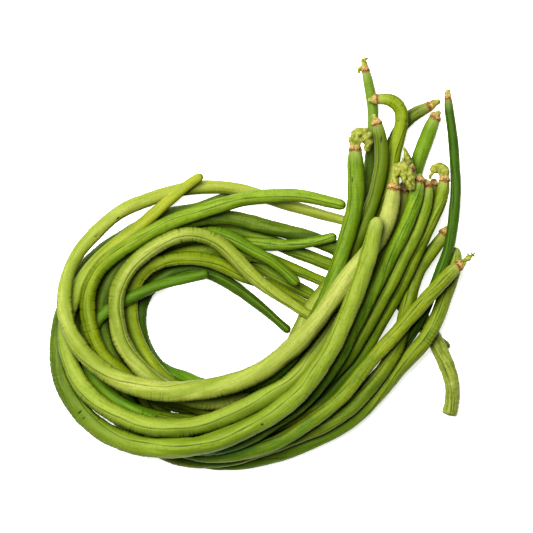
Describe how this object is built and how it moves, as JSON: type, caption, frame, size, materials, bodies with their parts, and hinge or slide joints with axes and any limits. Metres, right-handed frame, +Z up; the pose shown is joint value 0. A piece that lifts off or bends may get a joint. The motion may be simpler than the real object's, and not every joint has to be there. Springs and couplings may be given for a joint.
{
  "type": "yardlong bean bunch",
  "caption": "Loose bunch of very long, slender green bean pods with short dry stalks, looped round and laid flat.",
  "frame": {"origin": "on the table, under the middle of the bunch's outer box", "axes": "+Z up from the table; +Y towards the side where the pods turn away from their stalk ends; +X towards the side where most stalk ends lie"},
  "size_m": [0.2562, 0.2472, 0.0574],
  "materials": {
    "pod_skin": "satin",
    "stalk": "matte"
  },
  "bodies": {
    "root": {"pod_01": "pod_skin", "pod_02": "pod_skin", "pod_03": "pod_skin", "pod_04": "pod_skin", "pod_05": "pod_skin", "pod_06": "pod_skin", "pod_07": "pod_skin", "pod_08": "pod_skin", "pod_09": "pod_skin", "pod_10": "pod_skin", "pod_11": "pod_skin", "pod_12": "pod_skin", "pod_13": "pod_skin", "pod_14": "pod_skin", "pod_15": "pod_skin", "pod_16": "pod_skin", "pod_17": "pod_skin", "pod_18": "pod_skin", "stalk_01": "stalk", "stalk_02": "stalk", "stalk_03": "stalk", "stalk_04": "stalk", "stalk_06": "stalk", "stalk_07": "stalk", "stalk_08": "stalk", "stalk_09": "stalk", "stalk_10": "stalk", "stalk_11": "stalk", "stalk_12": "stalk", "stalk_13": "stalk", "stalk_14": "stalk", "stalk_15": "stalk", "stalk_16": "stalk", "stalk_17": "stalk"}
  },
  "joints": []
}
